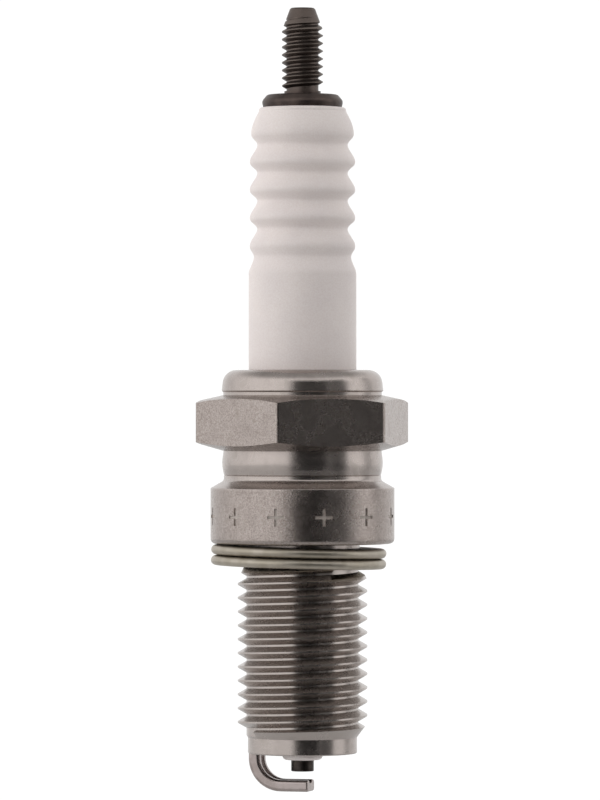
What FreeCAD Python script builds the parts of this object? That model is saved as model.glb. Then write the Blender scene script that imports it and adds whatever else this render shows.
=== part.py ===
import FreeCAD, Part
import math
import os

# Spark plug with a bare threaded terminal, a ribbed insulator and a loose folded gasket.
# Millimetres. +Z points towards the terminal. The origin is the centre of the shell's
# gasket seat, so everything that screws into the engine lies below zero.

os.makedirs("parts", exist_ok=True)

FULL_TURN = 360.0
THREAD_FLANK_ANGLE = 30.0
thread_foot_share = 0.47
thread_flat_share = 0.12
ring_cut_margin = 1.0
runout_clear = 0.1
small_gap = 0.01

# Engine thread, M12 x 1.25, 19 mm reach
reach = 19.0
engine_pitch = 1.25
engine_crest_r = 5.88
engine_root_r = engine_crest_r - 0.64 * engine_pitch
engine_full_from_z = -3.3
engine_full_to_z = -reach + 2.7
engine_runout_to_z = -reach + 1.45
engine_left_crest_z = -3.67
engine_first_crest_z = -reach + 1.7
engine_last_crest_z = -2.0
neck_r = engine_crest_r - 0.68
neck_end_z = -1.4
pilot_joint_z = -reach + 1.0
pilot_r = engine_crest_r - 0.93
pilot_edge = 0.12

# Terminal thread, M4 x 0.7, and the stud below it
terminal_pitch = 0.7
terminal_crest_r = 1.87
terminal_root_r = terminal_crest_r - 0.6 * terminal_pitch
terminal_top_z = 48.55
terminal_tip_r = terminal_root_r - 0.29
terminal_tip_edge = 0.12
terminal_right_crest_z = 41.14
terminal_first_crest_z = 41.38
terminal_last_crest_z = 47.9
terminal_shank_top_z = 41.0
terminal_full_from_z = 41.5
terminal_point_slope = 0.362
terminal_shank_r = terminal_root_r + 0.2
flange_r = 3.7
flange_bottom_r = 3.56
flange_top_r = 3.2
flange_top_z = 40.78
flange_brow_z = 40.68
flange_wide_z = 40.1
flange_edge_round = 0.5
flange_brow_round = 0.3
flange_foot_round = 0.08
stud_r = 1.8
stud_grip_top_z = 12.4
stud_grip_bottom_z = 8.6
stud_grip_r = 1.6
stud_grip_groove_r = 1.3
stud_grip_grooves = 4
stud_grip_groove_half = 0.22
stud_end_round = 0.15

# Insulator
insulator_top_z = 39.53
insulator_top_r = 3.97
insulator_top_round = 0.3
rib_start_z = 39.15
rib_count = 5
rib_pitch = 2.54
rib_fall = 0.96
rib_first_peak_z = 37.13
rib_first_peak_r = 4.66
rib_peak_r = 4.79
rib_valley_r = 4.11
rib_last_valley_r = 4.42
rib_land_z = 24.4
rib_rise_steps = 5
rib_fall_steps = 4
rib_fall_power = 1.15
land_r = 4.89
land_bottom_z = 15.6
chamber_relief = 0.19
chamber_r = land_r - chamber_relief
chamber_bottom_z = 11.35
collar_r = land_r + 0.86
collar_top_z = 10.7
collar_bottom_z = 4.4
collar_foot_z = 3.15
body_r = 3.78
body_bottom_z = -7.75
seat_r = 3.05
seat_bottom_z = -8.35
nose_root_z = -8.95
nose_root_r = 2.85
nose_tip_z = -reach - 0.6
nose_tip_r = 1.78
nose_tip_round = 0.35
stud_bore_r = 2.0
electrode_step_z = -3.4
electrode_step_drop = 0.5
electrode_bore_r = 1.12
ceramic_round = 0.3

# Shell, from the crimped lip down
lip_top_z = 15.73
lip_bore_gap = 0.07
lip_r = 7.33
lip_shoulder_r = 7.12
lip_round = 1.25
lip_bottom_z = 13.85
lip_bottom_round = 0.06
lip_under_z = 13.72
lip_neck_r = 7.19
lip_cavity_top_z = 15.05
lip_cavity_round = 0.45
hex_across_flats = 17.5
hex_corner_round = 0.4
hex_corner_angle = 16.74
hex_sides = 6
hex_cone_r = hex_across_flats / 2 + 0.6
hex_outer_r = hex_across_flats / 2 + 1.45
hex_top_z = 13.46
hex_top_cone_z = 12.97
hex_top_round_z = 12.7
hex_bottom_z = 8.4
hex_bottom_cone_z = 9.03
hex_bottom_round_z = 9.25
hex_edge_round = 0.5
groove_top_r = 7.17
groove_bulge_r = 7.33
groove_bulge_round = 3.0
groove_bottom_r = 7.13
groove_bulge_z = 7.2
groove_line_z = 6.2
groove_line = 0.05
flare_foot_z = 5.72
flare_round = 0.4
barrel_r = 8.34
barrel_top_z = 5.03
barrel_top_round = 0.12
barrel_bottom_round = 0.45
upper_bore_r = collar_r + 0.1
upper_bore_end_z = 4.1
lower_bore_r = body_r + 0.12
lower_bore_start_z = 2.86
ledge_r = 3.22
firing_bore_r = 3.7
ledge_land = 0.9
ledge_relief = 0.45

# Stamped crosses round the barrel
stamp_count = 12
stamp_first_angle = -16.7
stamp_z = 2.5
stamp_arm = 1.6
stamp_width = 0.28
stamp_depth = 0.15

# Sealing pieces between shell and insulator
packing_thickness = 0.28
packing_side_gap = 0.03
ring_gap = 0.01
lower_ring_z = 11.74
upper_ring_z = 14.35

# Centre electrode and its seals
electrode_r = 1.03
electrode_tip_z = -reach - 1.63
electrode_tip_round = 0.06
electrode_head_r = 1.7
electrode_head_height = 1.1
electrode_head_round = 0.07
core_r = 0.6
core_bottom_z = electrode_tip_z + 3.03
lower_glass_top_z = -0.6
resistor_top_z = 7.4
upper_glass_top_z = 11.2

# Ground electrode
spark_gap = 0.78
strap_width = 2.4
strap_thickness = 1.05
strap_round = 0.3
strap_outer_r = 4.8
strap_bend_r = 3.0
strap_past_axis = 0.8
strap_end_round = 0.15
strap_angle = 164.5
strap_groove_width = 1.1
strap_groove_depth = 0.28

# Gasket, a strip folded into four layers
gasket_outer_r = 7.95
gasket_inner_r = engine_crest_r - 0.28
gasket_sheet = 0.4
gasket_layer_gap = 0.08
gasket_layers = 4
gasket_offset_x = -0.32
gasket_high_z = -0.08
gasket_tilt = 1.5


def point(r, z):
    """A point of a turned outline: r out from the axis, z along it."""
    return FreeCAD.Vector(r, 0, z)


def at_corner(before, here, after, rounding):
    """The start, middle and end of the tangent arc that rounds one corner."""
    back = (before - here).normalize()
    ahead = (after - here).normalize()
    half = back.getAngle(ahead) / 2
    along = rounding / math.tan(half)
    middle = (back + ahead).normalize()
    depth = rounding / math.sin(half) - rounding
    return here + back * along, here + middle * depth, here + ahead * along


def corner_edges(corners, closed):
    """Straight edges through corners given as (r, z, rounding), with a tangent arc at each rounded one."""
    places = [point(r, z) for r, z, rounding in corners]
    count = len(corners)
    stops = []
    for i in range(count):
        rounding = corners[i][2]
        if rounding == 0:
            stops.append((places[i], None, places[i]))
        else:
            stops.append(at_corner(places[i - 1], places[i], places[(i + 1) % count], rounding))
    edges = [Part.Arc(*stop).toShape() for stop in stops if stop[1]]
    last = count if closed else count - 1
    for i in range(last):
        edges.append(Part.makeLine(stops[i][2], stops[(i + 1) % count][0]))
    return edges


def closed_wire(edges):
    return Part.Wire(Part.__sortEdges__(edges))


def turned(edges):
    """The solid made by turning a closed outline once round Z."""
    return Part.Face(closed_wire(edges)).revolve(point(0, 0), point(0, 1), FULL_TURN)


def turned_corners(corners):
    return turned(corner_edges(corners, True))


def disc(r, bottom_z, top_z):
    """A plain cylinder on the axis between two heights."""
    return Part.makeCylinder(r, top_z - bottom_z, point(0, bottom_z))


def about_axis(shape, angle):
    """The shape turned about Z."""
    return shape.rotated(point(0, 0), point(0, 1), angle)


def thread_ridge(pitch, crest_r, bottom_z, top_z, known_angle, known_z):
    """A right-hand ridge from bottom_z to top_z, with a crest at known_z on the side known_angle."""
    flat = thread_flat_share * pitch / 2
    foot = thread_foot_share * pitch
    foot_r = crest_r - (foot - flat) / math.tan(math.radians(THREAD_FLANK_ANGLE))
    corners = [
        (foot_r, -foot, 0),
        (crest_r, -flat, 0),
        (crest_r, flat, 0),
        (foot_r, foot, 0),
    ]
    section = closed_wire(corner_edges(corners, True))
    helix = Part.Wire(Part.makeHelix(pitch, top_z - bottom_z, foot_r).Edges)
    ridge = helix.makePipeShell([section], True, True)
    start_angle = known_angle + FULL_TURN * (bottom_z - known_z) / pitch
    ridge = about_axis(ridge, start_angle % FULL_TURN)
    ridge.translate(point(0, bottom_z))
    return ridge


def runout_ring(inner_r, inner_z, outer_r, outer_z, end_z):
    """A cutter that leaves a cone through (inner_r, inner_z) and (outer_r, outer_z) up or down to end_z."""
    far_r = outer_r + ring_cut_margin
    far_z = outer_z + ring_cut_margin * (outer_z - inner_z) / (outer_r - inner_r)
    return turned_corners([
        (inner_r, end_z, 0),
        (inner_r, inner_z, 0),
        (far_r, far_z, 0),
        (far_r, end_z, 0),
    ])


def save(shape, node):
    shape.exportStep("parts/" + node + ".step")


def ledge_height(r):
    """Height of the shell's inner ledge cone, which runs parallel to the insulator's seat."""
    slope = (body_bottom_z - seat_bottom_z) / (body_r - seat_r)
    return body_bottom_z - (body_r - r) * slope - packing_thickness


def step_height(r):
    """Height of the cone inside the insulator that the centre electrode's head rests on."""
    slope = electrode_step_drop / (stud_bore_r - electrode_bore_r)
    return electrode_step_z - (stud_bore_r - r) * slope


def hexagon():
    """The spanner hexagon: rounded corners, and cones that take off its top and bottom corners."""
    corner_r = hex_across_flats / 2 / math.cos(math.pi / hex_sides)
    outline = []
    for i in range(hex_sides):
        angle = 2 * math.pi * i / hex_sides
        outline.append((corner_r * math.cos(angle), corner_r * math.sin(angle), hex_corner_round))
    section = closed_wire(corner_edges(outline, True))
    section.rotate(point(0, 0), FreeCAD.Vector(1, 0, 0), -FULL_TURN / 4)
    section.translate(point(0, hex_bottom_z))
    prism = Part.Face(section).extrude(point(0, hex_top_z - hex_bottom_z))
    blank = turned_corners([
        (0, hex_bottom_z, 0),
        (groove_top_r, hex_bottom_z, 0),
        (hex_cone_r, hex_bottom_cone_z, hex_edge_round),
        (hex_outer_r, hex_bottom_round_z, 0),
        (hex_outer_r, hex_top_round_z, 0),
        (hex_cone_r, hex_top_cone_z, hex_edge_round),
        (lip_neck_r, hex_top_z, 0),
        (0, hex_top_z, 0),
    ])
    # As splines, so that no flat ends in a hyperbola, a curve that is hard to measure to.
    return about_axis(prism, hex_corner_angle).common(blank.toNurbs())


def shell_blank():
    """The shell as turned above the thread, before the hexagon and the bore."""
    return turned_corners([
        (0, lip_top_z, 0),
        (lip_shoulder_r, lip_top_z, lip_round),
        (lip_r, lip_bottom_z, lip_bottom_round),
        (lip_neck_r, lip_under_z, 0),
        (lip_neck_r, hex_top_cone_z, 0),
        (groove_top_r, hex_bottom_z, 0),
        (groove_bulge_r, groove_bulge_z, groove_bulge_round),
        (groove_bottom_r, groove_line_z + groove_line, 0),
        (groove_bottom_r - groove_line, groove_line_z, 0),
        (groove_bottom_r, groove_line_z - groove_line, 0),
        (groove_bottom_r, flare_foot_z, flare_round),
        (barrel_r, barrel_top_z, barrel_top_round),
        (barrel_r, 0, barrel_bottom_round),
        (neck_r, 0, 0),
        (neck_r, neck_end_z, 0),
        (0, neck_end_z, 0),
    ])


def shell_bore():
    """The space inside the shell: lip, packing chamber, body, ledge and firing end."""
    lip_bore_r = land_r + lip_bore_gap
    ledge_bottom_z = ledge_height(ledge_r) - ledge_land
    return turned_corners([
        (0, lip_top_z + ring_cut_margin, 0),
        (lip_bore_r, lip_top_z + ring_cut_margin, 0),
        (lip_bore_r, lip_cavity_top_z, 0),
        (upper_bore_r, lip_cavity_top_z, lip_cavity_round),
        (upper_bore_r, upper_bore_end_z, 0),
        (lower_bore_r, lower_bore_start_z, 0),
        (lower_bore_r, ledge_height(lower_bore_r), 0),
        (ledge_r, ledge_height(ledge_r), 0),
        (ledge_r, ledge_bottom_z, 0),
        (firing_bore_r, ledge_bottom_z - ledge_relief, 0),
        (firing_bore_r, -reach - ring_cut_margin, 0),
        (0, -reach - ring_cut_margin, 0),
    ])


def stamp():
    """One plain cross, as a cutter on the +X side of the barrel."""
    floor_r = barrel_r - stamp_depth
    deep = stamp_depth + ring_cut_margin
    upright = Part.makeBox(deep, stamp_width, stamp_arm)
    upright.translate(FreeCAD.Vector(floor_r, -stamp_width / 2, stamp_z - stamp_arm / 2))
    level = Part.makeBox(deep, stamp_arm, stamp_width)
    level.translate(FreeCAD.Vector(floor_r, -stamp_arm / 2, stamp_z - stamp_width / 2))
    return upright.fuse(level)


def engine_thread():
    """The threaded part of the shell, solid, with its crests run out to a cone at both ends."""
    core = disc(engine_root_r, pilot_joint_z, neck_end_z)
    thread = core.fuse(thread_ridge(
        engine_pitch, engine_crest_r, engine_first_crest_z, engine_last_crest_z,
        FULL_TURN / 2, engine_left_crest_z,
    ))
    thread = thread.cut(runout_ring(
        pilot_r, neck_end_z + runout_clear, engine_crest_r, engine_full_from_z,
        neck_end_z + ring_cut_margin,
    ))
    return thread.cut(runout_ring(
        pilot_r, engine_runout_to_z, engine_crest_r, engine_full_to_z,
        engine_runout_to_z - ring_cut_margin,
    ))


def pilot():
    """The plain end below the thread."""
    return turned_corners([
        (0, pilot_joint_z, 0),
        (pilot_r, pilot_joint_z, 0),
        (pilot_r, -reach, pilot_edge),
        (0, -reach, 0),
    ])


def metal_shell():
    shell = shell_blank().fuse(hexagon())
    shell = shell.fuse(engine_thread())
    shell = shell.fuse(pilot())
    shell = shell.cut(shell_bore())
    for i in range(stamp_count):
        angle = stamp_first_angle - FULL_TURN / 4 + FULL_TURN * i / stamp_count
        shell = shell.cut(about_axis(stamp(), angle))
    return shell


def insulator_ribs():
    """The ribbed outline as one smooth edge: each rib swells slowly downwards and falls away fast."""
    places = [point(insulator_top_r, rib_start_z)]
    from_r = insulator_top_r
    from_z = rib_start_z
    for rib in range(rib_count):
        peak_r = rib_first_peak_r if rib == 0 else rib_peak_r
        peak_z = rib_first_peak_z - rib * rib_pitch
        valley_r = rib_last_valley_r if rib == rib_count - 1 else rib_valley_r
        for step in range(1, rib_rise_steps + 1):
            part_way = step / rib_rise_steps
            swell = math.sin(part_way * math.pi / 2)
            if rib > 0:
                swell = swell * swell
            places.append(point(from_r + (peak_r - from_r) * swell, from_z + (peak_z - from_z) * part_way))
        for step in range(1, rib_fall_steps + 1):
            part_way = step / rib_fall_steps
            left = math.cos(part_way ** rib_fall_power * math.pi / 2) ** 2
            places.append(point(valley_r + (peak_r - valley_r) * left, peak_z - rib_fall * part_way))
        from_r = valley_r
        from_z = peak_z - rib_fall
    for step in range(1, rib_rise_steps + 1):
        part_way = step / rib_rise_steps
        swell = math.sin(part_way * math.pi / 2) ** 2
        places.append(point(from_r + (land_r - from_r) * swell, from_z + (rib_land_z - from_z) * part_way))
    curve = Part.BSplineCurve()
    curve.interpolate(places)
    return curve.toShape()


def insulator():
    edges = corner_edges([
        (land_r, rib_land_z, 0),
        (land_r, land_bottom_z, 0),
        (chamber_r, land_bottom_z - chamber_relief, 0),
        (chamber_r, chamber_bottom_z, ceramic_round),
        (collar_r, collar_top_z, ceramic_round),
        (collar_r, collar_bottom_z, ceramic_round),
        (body_r, collar_foot_z, ceramic_round),
        (body_r, body_bottom_z, 0),
        (seat_r, seat_bottom_z, 0),
        (nose_root_r, nose_root_z, 0),
        (nose_tip_r, nose_tip_z, nose_tip_round),
        (electrode_bore_r, nose_tip_z, 0),
        (electrode_bore_r, step_height(electrode_bore_r), 0),
        (stud_bore_r, electrode_step_z, 0),
        (stud_bore_r, insulator_top_z, 0),
        (insulator_top_r, insulator_top_z, insulator_top_round),
        (insulator_top_r, rib_start_z, 0),
    ], False)
    edges.append(insulator_ribs())
    return turned(edges)


def grip_corners():
    """The grooves at the foot of the terminal stud that lock it into the glass."""
    corners = []
    spacing = (stud_grip_top_z - stud_grip_bottom_z) / (stud_grip_grooves + 1)
    for i in range(stud_grip_grooves):
        middle_z = stud_grip_bottom_z + spacing * (i + 1)
        corners.append((stud_grip_r, middle_z - stud_grip_groove_half, 0))
        corners.append((stud_grip_groove_r, middle_z, 0))
        corners.append((stud_grip_r, middle_z + stud_grip_groove_half, 0))
    return corners


def terminal_thread():
    """The threaded end of the stud, solid, run out at the bottom and pointed at the top."""
    core = disc(terminal_root_r, terminal_shank_top_z, terminal_top_z)
    thread = core.fuse(thread_ridge(
        terminal_pitch, terminal_crest_r, terminal_first_crest_z, terminal_last_crest_z,
        0, terminal_right_crest_z,
    ))
    thread = thread.cut(runout_ring(
        terminal_shank_r, terminal_shank_top_z, terminal_crest_r, terminal_full_from_z,
        terminal_shank_top_z - ring_cut_margin,
    ))
    far_r = terminal_crest_r + ring_cut_margin
    edge_r = terminal_tip_r - terminal_tip_edge
    point_cutter = turned_corners([
        (edge_r, terminal_top_z + ring_cut_margin, 0),
        (edge_r, terminal_top_z, 0),
        (terminal_tip_r, terminal_top_z - terminal_tip_edge, 0),
        (far_r, terminal_top_z - (far_r - terminal_tip_r) / terminal_point_slope, 0),
        (far_r, terminal_top_z + ring_cut_margin, 0),
    ])
    return thread.cut(point_cutter)


def terminal_stud():
    stud = turned_corners([
        (0, stud_grip_bottom_z, 0),
        (stud_grip_r, stud_grip_bottom_z, stud_end_round),
    ] + grip_corners() + [
        (stud_grip_r, stud_grip_top_z, 0),
        (stud_r, stud_grip_top_z + stud_r - stud_grip_r, 0),
        (stud_r, insulator_top_z, 0),
        (flange_bottom_r, insulator_top_z, flange_foot_round),
        (flange_r, flange_wide_z, flange_edge_round),
        (flange_top_r, flange_brow_z, flange_brow_round),
        (terminal_shank_r, flange_top_z, 0),
        (terminal_shank_r, terminal_shank_top_z, 0),
        (0, terminal_shank_top_z, 0),
    ])
    return stud.fuse(terminal_thread())


def seat_packing():
    """The thin coned washer between the shell's ledge and the insulator's seat."""
    inner_r = ledge_r + packing_side_gap
    outer_r = lower_bore_r - packing_side_gap
    return turned_corners([
        (inner_r, ledge_height(inner_r), 0),
        (outer_r, ledge_height(outer_r), 0),
        (outer_r, ledge_height(outer_r) + packing_thickness, 0),
        (inner_r, ledge_height(inner_r) + packing_thickness, 0),
    ])


def packing_ring(middle_z):
    """A round wire ring that just fits between the insulator and the shell."""
    wire_r = (upper_bore_r - chamber_r) / 2 - ring_gap
    return Part.makeTorus((upper_bore_r + chamber_r) / 2, wire_r, point(0, middle_z))


def talc_filling(lower_ring, upper_ring):
    """The powder rammed between the two rings."""
    filling = disc(upper_bore_r, lower_ring_z, upper_ring_z)
    filling = filling.cut(disc(chamber_r, lower_ring_z, upper_ring_z))
    return filling.cut(lower_ring).cut(upper_ring)


def electrode_head_top_z():
    return step_height(electrode_head_r) + electrode_head_height


def centre_electrode():
    """The nickel-alloy sheath: a cup with a head, closed at the firing end."""
    return turned_corners([
        (core_r, electrode_head_top_z(), 0),
        (electrode_head_r, electrode_head_top_z(), electrode_head_round),
        (electrode_head_r, step_height(electrode_head_r) + small_gap, 0),
        (electrode_r, step_height(electrode_r) + small_gap, 0),
        (electrode_r, electrode_tip_z, electrode_tip_round),
        (0, electrode_tip_z, 0),
        (0, core_bottom_z, 0),
        (core_r, core_bottom_z, 0),
    ])


def lower_glass_seal():
    """Fused glass around and above the electrode's head."""
    return turned_corners([
        (0, lower_glass_top_z, 0),
        (stud_bore_r, lower_glass_top_z, 0),
        (stud_bore_r, electrode_step_z, 0),
        (electrode_head_r + small_gap, step_height(electrode_head_r + small_gap), 0),
        (electrode_head_r + small_gap, electrode_head_top_z(), 0),
        (0, electrode_head_top_z(), 0),
    ])


def strap_section(inner_r):
    """The strip's section at the weld, with its inner face towards the axis and a shallow groove in it."""
    half = strap_width / 2
    groove_half = strap_groove_width / 2
    edges = corner_edges([
        (inner_r, -groove_half, 0),
        (inner_r, -half, strap_round),
        (strap_outer_r, -half, strap_round),
        (strap_outer_r, half, strap_round),
        (inner_r, half, strap_round),
        (inner_r, groove_half, 0),
    ], False)
    groove = Part.Arc(point(inner_r, -groove_half), point(inner_r + strap_groove_depth, 0),
                      point(inner_r, groove_half))
    edges.append(groove.toShape())
    section = closed_wire(edges)
    section.rotate(point(0, 0), FreeCAD.Vector(1, 0, 0), -FULL_TURN / 4)
    section.translate(point(0, -reach))
    return section


def ground_electrode():
    inner_r = strap_outer_r - strap_thickness
    middle_r = strap_outer_r - strap_thickness / 2
    bend_r = strap_bend_r - strap_thickness / 2
    arm_z = electrode_tip_z - spark_gap - strap_thickness / 2
    bend_start = point(middle_r, arm_z + bend_r)
    bend_end = point(middle_r - bend_r, arm_z)
    share = bend_r * (1 - math.cos(math.pi / 4))
    bend_middle = point(middle_r - share, arm_z + share)
    path = closed_wire([
        Part.makeLine(point(middle_r, -reach), bend_start),
        Part.Arc(bend_start, bend_middle, bend_end).toShape(),
        Part.makeLine(bend_end, point(-strap_past_axis, arm_z)),
    ])
    strap = path.makePipeShell([strap_section(inner_r)], True, False)
    end_edges = [edge for edge in strap.Edges if edge.BoundBox.XMax < small_gap - strap_past_axis]
    strap = strap.makeFillet(strap_end_round, end_edges)
    return about_axis(strap, strap_angle)


def half_loop(r, from_z, to_z, bulge):
    """A half circle between two heights on one radius, bulging out or in."""
    return Part.Arc(point(r, from_z), point(r + bulge, (from_z + to_z) / 2), point(r, to_z)).toShape()


def gasket():
    """A folded strip: four layers joined by two folds outside and one inside, then set down askew."""
    fold_r = gasket_sheet + gasket_layer_gap / 2
    inside_r = gasket_layer_gap / 2
    pitch = gasket_sheet + gasket_layer_gap
    tops = [-i * pitch for i in range(gasket_layers)]
    bottoms = [top - gasket_sheet for top in tops]
    outer = gasket_outer_r - fold_r
    inner = gasket_inner_r + fold_r
    free = gasket_inner_r
    edges = [
        Part.makeLine(point(free, tops[0]), point(outer, tops[0])),
        half_loop(outer, tops[0], bottoms[1], fold_r),
        Part.makeLine(point(outer, bottoms[1]), point(inner, bottoms[1])),
        half_loop(inner, bottoms[1], tops[2], -inside_r),
        Part.makeLine(point(inner, tops[2]), point(outer, tops[2])),
        half_loop(outer, tops[2], bottoms[3], fold_r),
        Part.makeLine(point(outer, bottoms[3]), point(free, bottoms[3])),
        Part.makeLine(point(free, bottoms[3]), point(free, tops[3])),
        Part.makeLine(point(free, tops[3]), point(outer, tops[3])),
        half_loop(outer, tops[3], bottoms[2], inside_r),
        Part.makeLine(point(outer, bottoms[2]), point(inner, bottoms[2])),
        half_loop(inner, bottoms[2], tops[1], -fold_r),
        Part.makeLine(point(inner, tops[1]), point(outer, tops[1])),
        half_loop(outer, tops[1], bottoms[0], inside_r),
        Part.makeLine(point(outer, bottoms[0]), point(free, bottoms[0])),
        Part.makeLine(point(free, bottoms[0]), point(free, tops[0])),
    ]
    ring = turned(edges)
    ring.translate(point(gasket_offset_x, gasket_high_z))
    high_edge = point(gasket_offset_x - outer, gasket_high_z)
    ring.rotate(high_edge, FreeCAD.Vector(0, 1, 0), gasket_tilt)
    return ring


stud_solid = terminal_stud()
lower_ring_solid = packing_ring(lower_ring_z)
upper_ring_solid = packing_ring(upper_ring_z)

save(metal_shell(), "metal_shell")
save(insulator(), "insulator")
save(stud_solid, "terminal_stud")
save(disc(stud_bore_r, resistor_top_z, upper_glass_top_z).cut(stud_solid), "upper_glass_seal")
save(disc(stud_bore_r, lower_glass_top_z, resistor_top_z), "resistor")
save(lower_glass_seal(), "lower_glass_seal")
save(centre_electrode(), "centre_electrode")
save(disc(core_r, core_bottom_z, electrode_head_top_z()), "centre_electrode_core")
save(seat_packing(), "seat_packing")
save(lower_ring_solid, "lower_packing_ring")
save(talc_filling(lower_ring_solid, upper_ring_solid), "talc_filling")
save(upper_ring_solid, "upper_packing_ring")
save(ground_electrode(), "ground_electrode")
save(gasket(), "gasket")
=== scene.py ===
import bpy
import math
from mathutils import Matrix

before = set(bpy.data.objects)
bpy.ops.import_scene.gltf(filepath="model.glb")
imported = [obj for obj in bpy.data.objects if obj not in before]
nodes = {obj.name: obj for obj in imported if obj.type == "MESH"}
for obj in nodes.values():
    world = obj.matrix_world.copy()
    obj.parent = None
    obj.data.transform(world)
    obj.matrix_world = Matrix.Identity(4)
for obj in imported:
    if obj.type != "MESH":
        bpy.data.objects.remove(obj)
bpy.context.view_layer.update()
MM = 0.001


def colour(text):
    """Linear RGBA for an sRGB hex colour."""
    parts = [int(text[i:i + 2], 16) / 255 for i in (0, 2, 4)]
    return [p / 12.92 if p <= 0.04045 else ((p + 0.055) / 1.055) ** 2.4 for p in parts] + [1.0]


def grey(v):
    return [v, v, v, 1.0]


def per(size):
    """The noise scale that gives features of that many millimetres."""
    return 1 / (size * MM)


def add(tree, kind, settings=None, links=None, stops=(), interpolation="EASE"):
    """One node with its settings, the outputs that feed it and, on a ramp, its (place, colour) stops.

    On a colour mix, socket 0 is the factor and sockets 6 and 7 are the two colours.
    """
    made = tree.nodes.new(kind)
    for name, value in (settings or {}).items():
        if hasattr(made, str(name)):
            setattr(made, name, value)
        else:
            made.inputs[name].default_value = value
    for name, output in (links or {}).items():
        tree.links.new(output, made.inputs[name])
    for index, (place, rgba) in enumerate(stops):
        made.color_ramp.interpolation = interpolation
        elements = made.color_ramp.elements
        element = elements[index] if index < len(elements) else elements.new(place)
        element.position = place
        element.color = rgba
    return made


def fresh(name, settings):
    """A new material with nothing in it but a Principled shader and its output."""
    material = bpy.data.materials.new(name)
    material.use_nodes = True
    tree = material.node_tree
    tree.nodes.clear()
    shader = add(tree, "ShaderNodeBsdfPrincipled", settings)
    add(tree, "ShaderNodeOutputMaterial", None, {"Surface": shader.outputs["BSDF"]})
    return material, tree, shader


def dress(piece, material):
    piece.data.materials.clear()
    piece.data.materials.append(material)


def radius(tree, axes):
    """The distance of each point from the plug's axis."""
    flat = add(tree, "ShaderNodeCombineXYZ", None, {"X": axes.outputs["X"], "Y": axes.outputs["Y"]})
    length = add(tree, "ShaderNodeVectorMath", {"operation": "LENGTH"}, {0: flat.outputs["Vector"]})
    return length.outputs["Value"]


# ---------------------------------------------------------------- shell
# The shell is one cold-forged steel piece, turned, rolled and nickel plated.
# Hexagon and barrel keep a fine blasted speckle, the lip, groove and pilot are
# smoother turned bands, and the thread is calmer and slightly darker.
steel, tree, shader = fresh("nickel_plated_steel", {"Metallic": 1.0})
where = add(tree, "ShaderNodeTexCoord")
place = where.outputs["Object"]
axes = add(tree, "ShaderNodeSeparateXYZ", None, {"Vector": place})
half_span = 20
height = add(tree, "ShaderNodeMapRange", {"From Min": -half_span * MM, "From Max": half_span * MM},
             {"Value": axes.outputs["Z"]})


def level(z):
    """Where a height in millimetres falls on the ramps along the shell."""
    return (z + half_span) / (2 * half_span)


# The barrel runs up from the seat at zero; the hexagon stands above the groove.
barrel_top_z = 5.0
hex_bottom_z = 8.6
hex_top_z = 13.3
edge = 0.1
groove_share = 0.1
lip_share = 0.15
speckled = add(tree, "ShaderNodeValToRGB", None, {"Fac": height.outputs["Result"]}, [
    (level(-edge), grey(0)), (level(edge), grey(1)),
    (level(barrel_top_z - edge / 2), grey(1)), (level(barrel_top_z + edge / 2), grey(groove_share)),
    (level(hex_bottom_z - edge), grey(groove_share)), (level(hex_bottom_z + edge), grey(1)),
    (level(hex_top_z - edge), grey(1)), (level(hex_top_z + edge), grey(lip_share)),
], "LINEAR")
thread_bottom_z = -17.5
thread_top_z = -0.2
threaded = add(tree, "ShaderNodeValToRGB", None, {"Fac": height.outputs["Result"]}, [
    (level(thread_bottom_z), grey(0)), (level(thread_bottom_z + 0.5), grey(1)),
    (level(thread_top_z - 0.8), grey(1)), (level(thread_top_z), grey(0)),
], "LINEAR")

# Blast grains, broad plating blotches and the turning tool's fine rings.
grains = add(tree, "ShaderNodeTexNoise", {"Scale": per(0.154), "Detail": 5.0, "Roughness": 0.85},
             {"Vector": place})
blotches = add(tree, "ShaderNodeTexNoise", {"Scale": per(1.54), "Detail": 4.0, "Roughness": 0.55},
               {"Vector": place})
ring_place = add(tree, "ShaderNodeMapping", {"Scale": (per(17), per(17), per(0.11))}, {"Vector": place})
rings = add(tree, "ShaderNodeTexNoise", {"Scale": 1.0, "Detail": 2.0},
            {"Vector": ring_place.outputs["Vector"]})

plate = add(tree, "ShaderNodeValToRGB", None, {"Fac": blotches.outputs["Fac"]}, [
    (0.3, colour("A59C97")), (0.55, colour("AFA6A1")), (0.75, colour("A79E98")),
])
specks = add(tree, "ShaderNodeValToRGB", None, {"Fac": grains.outputs["Fac"]}, [
    (0.36, colour("CBC4C0")), (0.6, grey(1.0)),
])
speckled_plate = add(tree, "ShaderNodeMix", {"data_type": "RGBA", "blend_type": "MULTIPLY"},
                     {0: speckled.outputs["Color"], 6: plate.outputs["Color"], 7: specks.outputs["Color"]})
unstamped = add(tree, "ShaderNodeMix", {"data_type": "RGBA", 7: colour("AEA6A1")},
                {0: threaded.outputs["Color"], 6: speckled_plate.outputs[2]})

# The floors of the stamped crosses lie under the barrel's skin and are matte; their lighter colour is
# painted light, standing in for the light their narrow grooves shut out.
barrel_r = 8.34
below_skin = add(tree, "ShaderNodeMapRange", {
    "From Min": (barrel_r - 0.05) * MM, "From Max": (barrel_r - 0.02) * MM, "To Min": 1.0, "To Max": 0.0,
}, {"Value": radius(tree, axes)})
stamps_low_z = 0.9
stamps_high_z = 4.1
stamp_height = add(tree, "ShaderNodeValToRGB", None, {"Fac": height.outputs["Result"]}, [
    (level(stamps_low_z), grey(0)), (level(stamps_low_z + edge), grey(1)),
    (level(stamps_high_z - edge), grey(1)), (level(stamps_high_z), grey(0)),
], "LINEAR")
stamped = add(tree, "ShaderNodeMath", {"operation": "MULTIPLY"},
              {0: below_skin.outputs["Result"], 1: stamp_height.outputs["Color"]})
# Painted highlight: the stamp floors get a lighter colour than the plating around them.
skin_with_painted_stamp_light = add(tree, "ShaderNodeMix", {"data_type": "RGBA", 7: colour("CAC2BC")},
           {0: stamped.outputs[0], 6: unstamped.outputs[2]})
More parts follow.
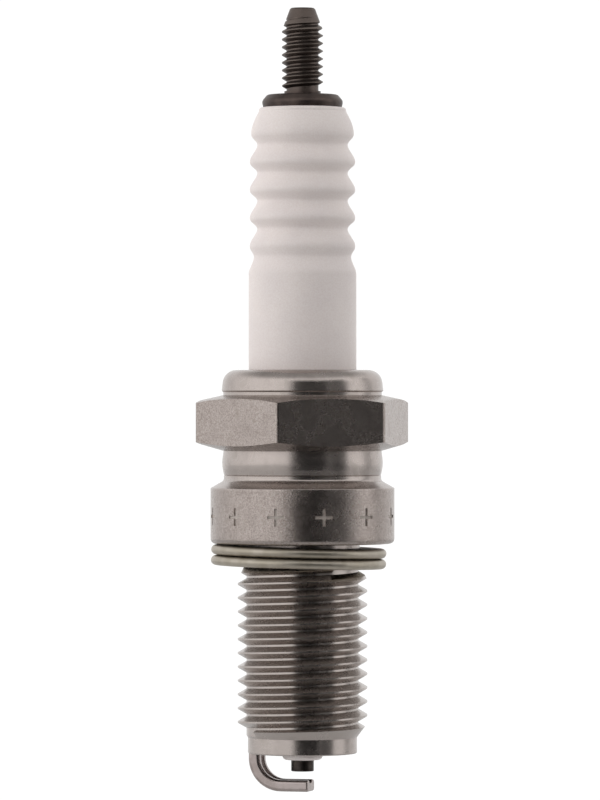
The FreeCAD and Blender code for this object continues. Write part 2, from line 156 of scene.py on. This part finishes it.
tree.links.new(skin_with_painted_stamp_light.outputs[2], shader.inputs["Base Color"])
satin = add(tree, "ShaderNodeMapRange", {"From Min": 0.3, "From Max": 0.7, "To Min": 0.22, "To Max": 0.30},
            {"Value": blotches.outputs["Fac"]})
stamp_roughness = 0.45
matte = add(tree, "ShaderNodeMath", {"operation": "MULTIPLY_ADD", 1: stamp_roughness},
            {0: stamped.outputs[0], 2: satin.outputs["Result"]})
tree.links.new(matte.outputs[0], shader.inputs["Roughness"])

# Relief: grains where it is blasted, rings everywhere, hardly any in the thread.
ring_relief = 0.35
plain_strength = 0.12
blast_strength = 0.4
grain_height = add(tree, "ShaderNodeMath", {"operation": "MULTIPLY"},
                   {0: grains.outputs["Fac"], 1: speckled.outputs["Color"]})
relief = add(tree, "ShaderNodeMath", {"operation": "MULTIPLY_ADD", 1: ring_relief},
             {0: rings.outputs["Fac"], 2: grain_height.outputs[0]})
calm = add(tree, "ShaderNodeMath", {"operation": "MULTIPLY_ADD", 1: -0.1, 2: plain_strength},
           {0: threaded.outputs["Color"]})
strength = add(tree, "ShaderNodeMath", {"operation": "MULTIPLY_ADD", 1: blast_strength},
               {0: speckled.outputs["Color"], 2: calm.outputs[0]})
bump = add(tree, "ShaderNodeBump", {"Distance": 0.03 * MM},
           {"Height": relief.outputs[0], "Strength": strength.outputs[0]})
tree.links.new(bump.outputs["Normal"], shader.inputs["Normal"])
dress(nodes["metal_shell"], steel)

# ------------------------------------------------------------ insulator
# Fired alumina, ground to shape and thinly glazed: a warm off-white, satin to
# the eye, with a faint grain under the glaze where the ground body shows.
ceramic, tree, shader = fresh("fired_alumina", {})
place = add(tree, "ShaderNodeTexCoord").outputs["Object"]
cloud = add(tree, "ShaderNodeTexNoise", {"Scale": per(4.5), "Detail": 3.0}, {"Vector": place})
ground = add(tree, "ShaderNodeTexNoise", {"Scale": per(0.15), "Detail": 5.0, "Roughness": 0.8},
             {"Vector": place})
body = add(tree, "ShaderNodeValToRGB", None, {"Fac": cloud.outputs["Fac"]}, [
    (0.35, colour("F9F0EC")), (0.65, colour("F4EBE8")),
])
grain = add(tree, "ShaderNodeValToRGB", None, {"Fac": ground.outputs["Fac"]}, [
    (0.35, colour("F7F4F3")), (0.65, grey(1.0)),
])
glazed = add(tree, "ShaderNodeMix", {"data_type": "RGBA", "blend_type": "MULTIPLY", 0: 1.0},
             {6: body.outputs["Color"], 7: grain.outputs["Color"]})
tree.links.new(glazed.outputs[2], shader.inputs["Base Color"])
satin = add(tree, "ShaderNodeMapRange", {"To Min": 0.42, "To Max": 0.5}, {"Value": cloud.outputs["Fac"]})
tree.links.new(satin.outputs["Result"], shader.inputs["Roughness"])
dress(nodes["insulator"], ceramic)

# -------------------------------------------------------- terminal stud
# Turned steel with a rolled thread, blackened in hot oil: a dark satin brown.
# The oxide is worn towards grey along the crests of the bare thread.
black, tree, shader = fresh("oil_blackened_steel", {"Metallic": 1.0})
place = add(tree, "ShaderNodeTexCoord").outputs["Object"]
stain = add(tree, "ShaderNodeTexNoise", {"Scale": per(1.1), "Detail": 4.0}, {"Vector": place})
oxide = add(tree, "ShaderNodeValToRGB", None, {"Fac": stain.outputs["Fac"]}, [
    (0.35, colour("4C4340")), (0.65, colour("5E534E")),
])
axes = add(tree, "ShaderNodeSeparateXYZ", None, {"Vector": place})
flange_top_z = 40.8
above = add(tree, "ShaderNodeMapRange", {
    "From Min": flange_top_z * MM, "From Max": (flange_top_z + 0.4) * MM,
}, {"Value": axes.outputs["Z"]})
root_r = 1.5
crest_r = 1.86
worn = add(tree, "ShaderNodeMapRange", {
    "From Min": root_r * MM, "From Max": crest_r * MM, "To Min": 0.45, "To Max": 1.0,
}, {"Value": radius(tree, axes)})
bare = add(tree, "ShaderNodeMath", {"operation": "MULTIPLY"},
           {0: above.outputs["Result"], 1: worn.outputs["Result"]})
rubbed = add(tree, "ShaderNodeMix", {"data_type": "RGBA", 7: colour("6E655F")},
             {0: bare.outputs[0], 6: oxide.outputs["Color"]})
tree.links.new(rubbed.outputs[2], shader.inputs["Base Color"])
satin = add(tree, "ShaderNodeMapRange", {"To Min": 0.38, "To Max": 0.52}, {"Value": stain.outputs["Fac"]})
tree.links.new(satin.outputs["Result"], shader.inputs["Roughness"])
dress(nodes["terminal_stud"], black)

# ------------------------------------------------------ centre electrode
# A drawn nickel-alloy sheath, dark from the firing of the glass seal.
alloy, tree, shader = fresh("dark_nickel_alloy", {"Metallic": 1.0, "Roughness": 0.4})
place = add(tree, "ShaderNodeTexCoord").outputs["Object"]
stain = add(tree, "ShaderNodeTexNoise", {"Scale": per(0.7), "Detail": 3.0}, {"Vector": place})
tone = add(tree, "ShaderNodeValToRGB", None, {"Fac": stain.outputs["Fac"]}, [
    (0.35, colour("3A3432")), (0.65, colour("4A4440")),
])
tree.links.new(tone.outputs["Color"], shader.inputs["Base Color"])
dress(nodes["centre_electrode"], alloy)

# ------------------------------------------------------ ground electrode
# Drawn nickel-alloy strip with a rolled groove, welded to the shell and bent:
# a clean light grey with a soft satin sheen.
strip, tree, shader = fresh("drawn_nickel_strip", {"Metallic": 1.0})
place = add(tree, "ShaderNodeTexCoord").outputs["Object"]
drawn = add(tree, "ShaderNodeTexNoise", {"Scale": per(0.9), "Detail": 4.0}, {"Vector": place})
tone = add(tree, "ShaderNodeValToRGB", None, {"Fac": drawn.outputs["Fac"]}, [
    (0.35, colour("A09591")), (0.65, colour("B0A5A2")),
])
tree.links.new(tone.outputs["Color"], shader.inputs["Base Color"])
satin = add(tree, "ShaderNodeMapRange", {"To Min": 0.25, "To Max": 0.38}, {"Value": drawn.outputs["Fac"]})
tree.links.new(satin.outputs["Result"], shader.inputs["Roughness"])
dress(nodes["ground_electrode"], strip)

# --------------------------------------------------------------- gasket
# Zinc-plated soft steel strip, folded into four layers and pressed round:
# a slightly yellow grey, dulled by handling.
zinc, tree, shader = fresh("zinc_plated_strip", {"Metallic": 1.0})
place = add(tree, "ShaderNodeTexCoord").outputs["Object"]
scuffs = add(tree, "ShaderNodeTexNoise", {"Scale": per(1.25), "Detail": 4.0}, {"Vector": place})
tone = add(tree, "ShaderNodeValToRGB", None, {"Fac": scuffs.outputs["Fac"]}, [
    (0.35, colour("A29A8C")), (0.65, colour("B0A89C")),
])
tree.links.new(tone.outputs["Color"], shader.inputs["Base Color"])
satin = add(tree, "ShaderNodeMapRange", {"To Min": 0.36, "To Max": 0.46}, {"Value": scuffs.outputs["Fac"]})
tree.links.new(satin.outputs["Result"], shader.inputs["Roughness"])
dress(nodes["gasket"], zinc)

# -------------------------------------------------------- sealed inside
# Pieces that only a section would show: soft steel packing, pressed talc,
# copper core, fused glass seals and the carbon-glass resistor.
for node_names, slot, name, low, high, metallic, roughness in (
    (("seat_packing", "lower_packing_ring", "upper_packing_ring"), "packing_steel", "soft_steel_wire",
     "9C958E", "AEA7A0", 1.0, 0.35),
    (("talc_filling",), "talc", "pressed_talc", "D9D6CE", "E6E3DC", 0.0, 0.8),
    (("centre_electrode_core",), "copper", "extruded_copper", "B97452", "CD8A66", 1.0, 0.3),
    (("upper_glass_seal", "lower_glass_seal"), "conductive_glass", "copper_filled_glass",
     "5A4A40", "75604F", 0.3, 0.35),
    (("resistor",), "carbon_glass_resistor", "carbon_glass", "1E1D1D", "2C2A29", 0.0, 0.6),
):
    inner, tree, shader = fresh(name, {"Metallic": metallic, "Roughness": roughness})
    place = add(tree, "ShaderNodeTexCoord").outputs["Object"]
    mottle = add(tree, "ShaderNodeTexNoise", {"Scale": per(0.67), "Detail": 3.0}, {"Vector": place})
    tone = add(tree, "ShaderNodeValToRGB", None, {"Fac": mottle.outputs["Fac"]}, [
        (0.35, colour(low)), (0.65, colour(high)),
    ])
    tree.links.new(tone.outputs["Color"], shader.inputs["Base Color"])
    for node_name in node_names:
        dress(nodes[node_name], inner)

# ------------------------------------------------------- smooth shading
# Turned faces are smooth; edges sharper than this angle stay crisp.
crisp_angle = math.radians(24)
for piece in nodes.values():
    bpy.ops.object.select_all(action="DESELECT")
    piece.select_set(True)
    bpy.context.view_layer.objects.active = piece
    bpy.ops.object.shade_smooth_by_angle(angle=crisp_angle)

# --------------------------------------------------------------- studio
# A white room with a pale paper floor. Cards that the camera doesn't see stand
# round its side of the plug and give the metal its dark bands and bright edge.
bpy.ops.mesh.primitive_plane_add(size=3.2, location=(0, 0, -0.15))
floor = bpy.context.object
floor.name = "floor"
paper, tree, shader = fresh("floor_paper", {"Base Color": grey(0.9), "Roughness": 0.9})
dress(floor, paper)

card_distance = 0.3
card_height = 0.32
middle_z = 0.013
# Each card's name, its left and right edges in degrees from the front, and its shade.
for name, left, right, shade in (
    ("card_wide", -17, 34, 0.022),
    ("card_gap", 34, 42, 0.3),
    ("card_narrow", 42, 67, 0.13),
    ("card_strip", 100, 116, 0.7),
):
    cloth, tree, shader = fresh(name + "_cloth", {"Base Color": grey(shade), "Roughness": 1.0})
    middle = math.radians((left + right) / 2)
    half = math.radians((right - left) / 2)
    stand = (card_distance * math.sin(middle), -card_distance * math.cos(middle), middle_z)
    bpy.ops.mesh.primitive_plane_add(size=1.0, location=stand, rotation=(math.pi / 2, 0, middle))
    card = bpy.context.object
    card.name = name
    card.scale = (2 * card_distance * math.tan(half), card_height, 1)
    card.visible_camera = False
    dress(card, cloth)

# The room is darker overhead, and brighter on the camera's side than behind.
world = bpy.data.worlds.new("studio")
bpy.context.scene.world = world
world.use_nodes = True
tree = world.node_tree
tree.nodes.clear()
look = add(tree, "ShaderNodeTexCoord")
parts = add(tree, "ShaderNodeSeparateXYZ", None, {"Vector": look.outputs["Generated"]})
room = add(tree, "ShaderNodeValToRGB", None, {"Fac": parts.outputs["Z"]}, [
    (0.5, grey(1.0)), (0.85, grey(0.38)),
])
front_strength = 1.35
back_strength = 1.05
strength = add(tree, "ShaderNodeMapRange", {
    "From Min": -0.3, "From Max": 0.6, "To Min": front_strength, "To Max": back_strength,
}, {"Value": parts.outputs["Y"]})
glow = add(tree, "ShaderNodeBackground", None,
           {"Color": room.outputs["Color"], "Strength": strength.outputs["Result"]})
add(tree, "ShaderNodeOutputWorld", None, {"Surface": glow.outputs["Background"]})

# --------------------------------------------------------------- camera
# A long lens, level with the middle of the plug and square to its front.
eye = bpy.data.cameras.new("camera")
eye.lens = 253.1
eye.clip_start = 0.01
camera = bpy.data.objects.new("camera", eye)
bpy.context.scene.collection.objects.link(camera)
camera.location = (-0.000227, -0.51, 0.01301)
camera.rotation_euler = (math.pi / 2, 0, 0)
bpy.context.scene.camera = camera
bpy.context.scene.view_settings.view_transform = "Standard"
